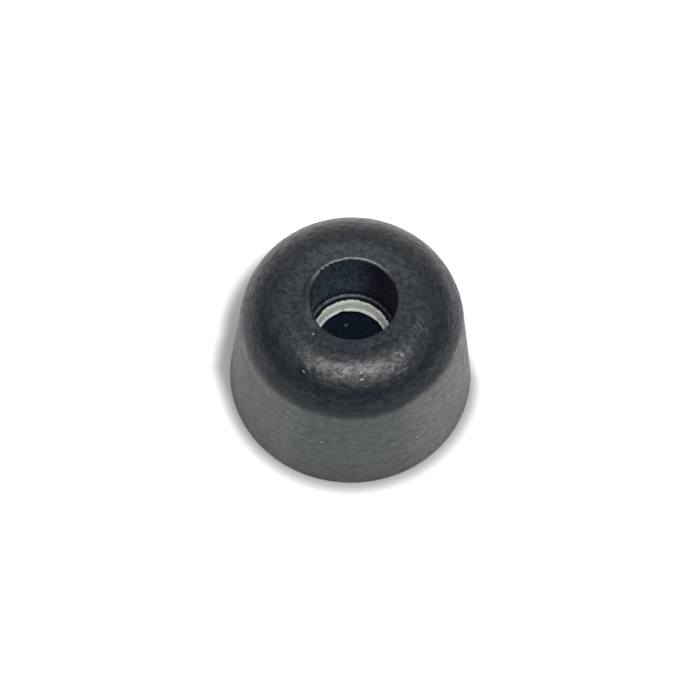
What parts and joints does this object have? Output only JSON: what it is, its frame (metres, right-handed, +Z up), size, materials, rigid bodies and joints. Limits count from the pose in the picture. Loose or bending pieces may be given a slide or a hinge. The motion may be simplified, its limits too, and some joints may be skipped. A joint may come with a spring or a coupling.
{
  "type": "rubber foot",
  "caption": "Round drafted rubber foot with a rounded shoulder, a deep screw recess, a steel washer moulded in at its foot, and a through hole to the flat base.",
  "frame": {"origin": "centre of the wide flat base, on the surface the foot stands on", "axes": "+Z up along the foot's axis, from the flat base to the recessed top; the body is round, so X and Y are free"},
  "size_m": [0.038, 0.038, 0.026],
  "materials": {
    "rubber": "matte black moulded rubber, greyed by bloom and handling on its side wall",
    "washer_steel": "dulled zinc-plated steel, washer with a coned hole"
  },
  "bodies": {
    "root": {"rubber_body": "rubber", "steel_washer": "washer_steel"}
  },
  "joints": []
}
